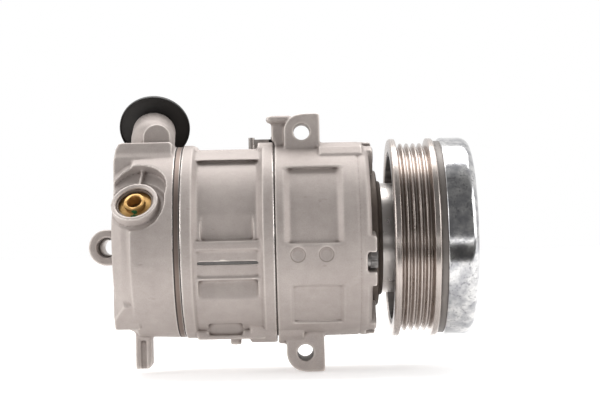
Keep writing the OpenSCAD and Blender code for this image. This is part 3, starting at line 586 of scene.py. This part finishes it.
stand_in(spun("pulley_rim", rounded(pulley_profile, 0.3)), "grooved_pulley")

# %% [markdown]
# ### Clutch shell
# The pressed steel face of the rotor, with one large rounded corner and a rolled lip in front. Inside it is
# a dish, where the armature and the hub sit.

# %% Clutch shell
shell_low, shell_high = (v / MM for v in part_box("friction_ring"))
back, front = shell_low.x, shell_high.x
dish_r, dish_floor = 48.8, 19.0
arc_r = 5.4
corner = [(front - arc_r + arc_r * math.sin(t), rim_r - arc_r + arc_r * math.cos(t))
          for t in np.linspace(0, math.radians(78), 9)]
shell_profile = ([(back, 28.5), (back, rim_r - 0.8), (back + 0.5, rim_r - 0.1), (back + 1.6, rim_r)] + corner
                 + [(front, 49.6), (front - 0.8, dish_r), (dish_floor, dish_r), (dish_floor, 28.5)])
stand_in(spun("clutch_shell", rounded(shell_profile, 0.35)), "friction_ring")

# %% [markdown]
# ### Dust plate
# A dark stamped disc with a stepped edge, pressed on the nose.

# %% Dust plate
bore = 30.55
dust_profile = [(dust_low.x, bore), (dust_low.x, dust_high.z), (-20.4, dust_high.z), (-19.8, 37),
                (-19.8, 32.8), (-19.2, 32), (dust_high.x, 31.4), (dust_high.x, bore)]
stand_in(spun("dust_disc", rounded(dust_profile, 0.4)), "dust_plate")


# %% [markdown]
# ### Port caps
# Each cap is a wide soft disc with a raised rim and a plug that fits in the port.

# %% Port caps
mounts = {mount["name"]: mount for mount in frame["record"]["mounts"]}


def port_cap(node, name, mount_name, profile):
    """profile is (along, out) in mm, where 0 along is the face of the port."""
    mount = mounts[mount_name]
    piece = spun(name, rounded(profile, 0.5), 160, "Y")
    tilt = Vector((0, 1, 0)).rotation_difference(Vector(mount["axis"])).to_matrix().to_4x4()
    piece.data.transform(Matrix.Translation(mount["pos_m"]) @ tilt)
    stand_in(piece, node)


port_cap("suction_cap", "inlet_plug", "inlet_port",
         [(-2, 0), (-2, 7.2), (-1.4, 7.85), (0.35, 7.85), (0.35, 9.4), (3.8, 9.4), (3.8, 19.3), (2.9, 19.3),
          (2.9, 20), (5, 20), (5.8, 19.2), (5.8, 12), (8, 11), (8, 0)])
port_cap("discharge_cap", "outlet_plug", "outlet_port",
         [(-3, 0), (-3, 5.2), (-2.4, 5.85), (0.35, 5.85), (0.35, 13.2), (2.6, 13.2), (3.4, 12.4), (3.4, 8),
          (5, 7), (5, 0)])


# %% [markdown]
# ## Small machined parts
# These keep their CAD shape, but a real edge is never knife sharp. So each is copied, its flat faces are
# joined, and a narrow bevel goes round its edges.

# %% Small machined parts
EDGE_ANGLE = math.radians(30)  # sharper bends than this get a bevel


def eased(node, name, width):
    mesh = merged_mesh(node, name)
    made = bmesh.new()
    made.from_mesh(mesh)
    bmesh.ops.dissolve_limit(made, angle_limit=math.radians(1), verts=made.verts, edges=made.edges)
    made.to_mesh(mesh)
    made.free()
    piece = new_piece(name, mesh)
    bevel = piece.modifiers.new("edge", "BEVEL")
    bevel.width = width * MM
    bevel.segments = 2
    bevel.limit_method = "ANGLE"
    bevel.angle_limit = EDGE_ANGLE
    applied(piece)
    smooth_by_angle(piece.data)
    return stand_in(piece, node)


eased("rear_ear_bush", "rear_bush", 0.2)
eased("hub_plate", "clutch_hub", 0.3)
eased("armature", "clutch_armature", 0.25)
eased("control_valve_body", "valve_body", 0.25)
eased("control_valve_circlip", "valve_circlip", 0.15)
eased("relief_valve", "safety_valve", 0.25)
eased("hub_bolt", "centre_bolt", 0.2)

# %% [markdown]
# ## Housing bolts
# Five equal bolts clamp the stack. One bolt is made here, and Geometry Nodes copy it to the five places.


# %% Housing bolts
def bolt_mesh(head_r, head_h, seat_x, shank_r, end_x):
    """A round head with a fine knurl, a domed edge and a six-sided socket, on a long plain shank."""
    teeth, per_tooth = 36, 4
    count = teeth * per_tooth
    made = bmesh.new()
    # Heights are shares of head_h above the seat, and radii are shares of head_r.
    shank = shank_r / head_r
    levels = [((end_x - seat_x) / head_h, shank), (0, shank), (0, 1.06), (0.14, 1.06), (0.18, 1.0),
              (0.8, 1.0), (0.95, 0.93), (1.0, 0.82)]
    rings = []
    for level, share in levels:
        ring = []
        for i in range(count):
            notch = 0.05 * (i % per_tooth in (0, 1)) if 0.15 < level < 0.85 else 0
            turn = 2 * math.pi * i / count
            out = head_r * (share - notch)
            ring.append(made.verts.new((seat_x + level * head_h, out * math.cos(turn), out * math.sin(turn))))
        rings.append(ring)
    socket = []
    for depth in (head_h, head_h * 0.45):
        ring = []
        for i in range(count):
            turn = 2 * math.pi * i / count
            side = math.cos(math.pi / 6) / math.cos((turn + math.pi / 6) % (math.pi / 3) - math.pi / 6)
            out = head_r * 0.55 * side
            ring.append(made.verts.new((seat_x + depth, out * math.cos(turn), out * math.sin(turn))))
        socket.append(ring)
    rings += socket
    for lower, upper in zip(rings, rings[1:]):
        for i in range(count):
            made.faces.new((lower[i], lower[(i + 1) % count], upper[(i + 1) % count], upper[i]))
    made.faces.new(rings[0])
    made.faces.new(rings[-1])
    bmesh.ops.recalc_face_normals(made, faces=made.faces)
    bmesh.ops.scale(made, vec=(MM, MM, MM), verts=made.verts)
    mesh = bpy.data.meshes.new("bolt")
    made.to_mesh(mesh)
    made.free()
    return mesh


def copies_tree(name, finish):
    """A Geometry Nodes tree that puts the Part on every point of the modified mesh."""
    tree = bpy.data.node_groups.new(name, "GeometryNodeTree")
    face = tree.interface
    face.new_socket("Points", in_out="INPUT", socket_type="NodeSocketGeometry")
    face.new_socket("Part", in_out="INPUT", socket_type="NodeSocketObject")
    face.new_socket("Turn each", in_out="INPUT", socket_type="NodeSocketFloat")
    face.new_socket("Result", in_out="OUTPUT", socket_type="NodeSocketGeometry")
    new, link = tree.nodes.new, tree.links.new
    start, end = new("NodeGroupInput"), new("NodeGroupOutput")
    info, place = new("GeometryNodeObjectInfo"), new("GeometryNodeInstanceOnPoints")
    index, turn, angles = new("GeometryNodeInputIndex"), new("ShaderNodeMath"), new("ShaderNodeCombineXYZ")
    real, paint = new("GeometryNodeRealizeInstances"), new("GeometryNodeSetMaterial")
    turn.operation = "MULTIPLY"
    paint.inputs["Material"].default_value = finish
    link(start.outputs["Part"], info.inputs["Object"])
    link(start.outputs["Points"], place.inputs["Points"])
    link(info.outputs["Geometry"], place.inputs["Instance"])
    link(index.outputs["Index"], turn.inputs[0])
    link(start.outputs["Turn each"], turn.inputs[1])
    link(turn.outputs[0], angles.inputs["X"])
    link(angles.outputs[0], place.inputs["Rotation"])
    link(place.outputs["Instances"], real.inputs["Geometry"])
    link(real.outputs["Geometry"], paint.inputs["Geometry"])
    link(paint.outputs["Geometry"], end.inputs["Result"])
    return tree


def copies(name, part, places, slot, turn_each=0.0):
    """Copies part to each of the places and returns them as one piece."""
    mesh = bpy.data.meshes.new(name)
    mesh.from_pydata([tuple(p) for p in places], [], [])
    piece = new_piece(name, mesh)
    modifier = piece.modifiers.new("copies", "NODES")
    modifier.node_group = copies_tree(name + "_tree", finishes[slot])
    names = {item.name: item.identifier for item in modifier.node_group.interface.items_tree
             if item.in_out == "INPUT"}
    modifier[names["Part"]] = part
    modifier[names["Turn each"]] = turn_each
    applied(piece)
    bpy.data.objects.remove(part)
    smooth_by_angle(piece.data)
    return piece


BOLT_ANGLES = (102, 194, 256, 328, 40)
BOLT_CIRCLE = 46.5
SEAT_X, HEAD_R, HEAD_H = -26.1, 4.9, 4.9
SHANK_R = 2.95
SHANK_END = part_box("through_bolts")[0].x / MM
bolt = new_piece("bolt", bolt_mesh(HEAD_R, HEAD_H, SEAT_X, SHANK_R, SHANK_END))
places = [Vector((0, BOLT_CIRCLE * math.cos(math.radians(a)), BOLT_CIRCLE * math.sin(math.radians(a)))) * MM
          for a in BOLT_ANGLES]
stand_in(copies("housing_bolts", bolt, places, "bolt_steel", 0.4), "through_bolts")

# %% [markdown]
# ## Floor, sky and lamps
# A plain pale floor lies just under the lowest point. The sky is bright behind and above, and dark on the
# camera's side, so the round metal has a dark middle between bright bands. A dark cloth on the floor in
# front, which only reflections see, carries that dark middle a little below the shaft.


# %% Floor and cloth
floor_z = cad_box[0][2] - 0.4 * MM
HALF_FLOOR = 6.0  # metres
floor_mesh = bpy.data.meshes.new("floor")
corners = [(x * HALF_FLOOR, y * HALF_FLOOR, floor_z) for x, y in ((-1, -1), (1, -1), (1, 1), (-1, 1))]
floor_mesh.from_pydata(corners, [], [(0, 1, 2, 3)])
floor = new_piece("floor", floor_mesh)
floor_paint = Finish("floor_paint")
floor_paint.set(Base_Color=(0.9, 0.895, 0.89, 1), Roughness=0.8, Emission_Color=(1, 1, 1, 1),
                Emission_Strength=0.42)
floor.data.materials.append(floor_paint.material)

cloth_mesh = bpy.data.meshes.new("dark_cloth")
HALF_CLOTH, CLOTH_GAP, CLOTH_END = 3, 0.1, 4  # metres; the gap and the end are from the nearest part
cloth_front, cloth_back = cad_box[0][1] - CLOTH_END, cad_box[0][1] - CLOTH_GAP
corners = [(x * HALF_CLOTH, y, floor_z + MM)
           for x, y in ((-1, cloth_front), (1, cloth_front), (1, cloth_back), (-1, cloth_back))]
cloth_mesh.from_pydata(corners, [], [(0, 1, 2, 3)])
cloth = new_piece("dark_cloth", cloth_mesh)
cloth_paint = Finish("cloth_paint")
cloth_paint.set(Base_Color=(0.04, 0.038, 0.036, 1), Roughness=0.9)
cloth.data.materials.append(cloth_paint.material)
cloth.visible_camera = cloth.visible_diffuse = cloth.visible_shadow = False


# %% Sky and lamps
def lamp(name, at, aim, size, power):
    light = bpy.data.lights.new(name, "AREA")
    light.shape = "RECTANGLE"
    light.size, light.size_y = size
    light.energy = power
    made = bpy.data.objects.new(name, light)
    direction = Vector(aim) - Vector(at)
    made.matrix_world = Matrix.Translation(at) @ direction.to_track_quat("-Z", "Y").to_matrix().to_4x4()
    bpy.context.scene.collection.objects.link(made)


middle = (Vector(cad_box[0]) + Vector(cad_box[1])) / 2
for side in (-1, 1):
    lamp("side", middle + Vector((side * 0.95, -0.35, 0.3)), middle, (0.5, 0.7), 4.3)
lamp("overhead", middle + Vector((0.0, 0.3, 1.0)), middle, (1.4, 0.6), 12)
lamp("low_front", middle + Vector((0.1, -0.6, -0.06)), middle, (1.2, 0.05), 0.5)

sky = bpy.data.worlds.new("studio_sky")
sky.use_nodes = True
bpy.context.scene.world = sky
tree = sky.node_tree
background = tree.nodes["Background"]
direction = tree.nodes.new("ShaderNodeTexCoord")
parts = tree.nodes.new("ShaderNodeSeparateXYZ")
ramp = tree.nodes.new("ShaderNodeMapRange")
seen = tree.nodes.new("ShaderNodeLightPath")
either = tree.nodes.new("ShaderNodeMath")
either.operation = "MAXIMUM"
ramp.inputs["From Min"].default_value = -0.35
ramp.inputs["From Max"].default_value = 0.15
ramp.inputs["To Min"].default_value = 0.24
ramp.inputs["To Max"].default_value = 1.0
tree.links.new(direction.outputs["Generated"], parts.inputs[0])
tree.links.new(parts.outputs["Y"], ramp.inputs["Value"])
tree.links.new(ramp.outputs[0], either.inputs[0])
tree.links.new(seen.outputs["Is Camera Ray"], either.inputs[1])
tree.links.new(either.outputs[0], background.inputs["Strength"])
background.inputs["Color"].default_value = (1, 1, 1, 1)
bpy.context.scene.view_settings.view_transform = "Standard"
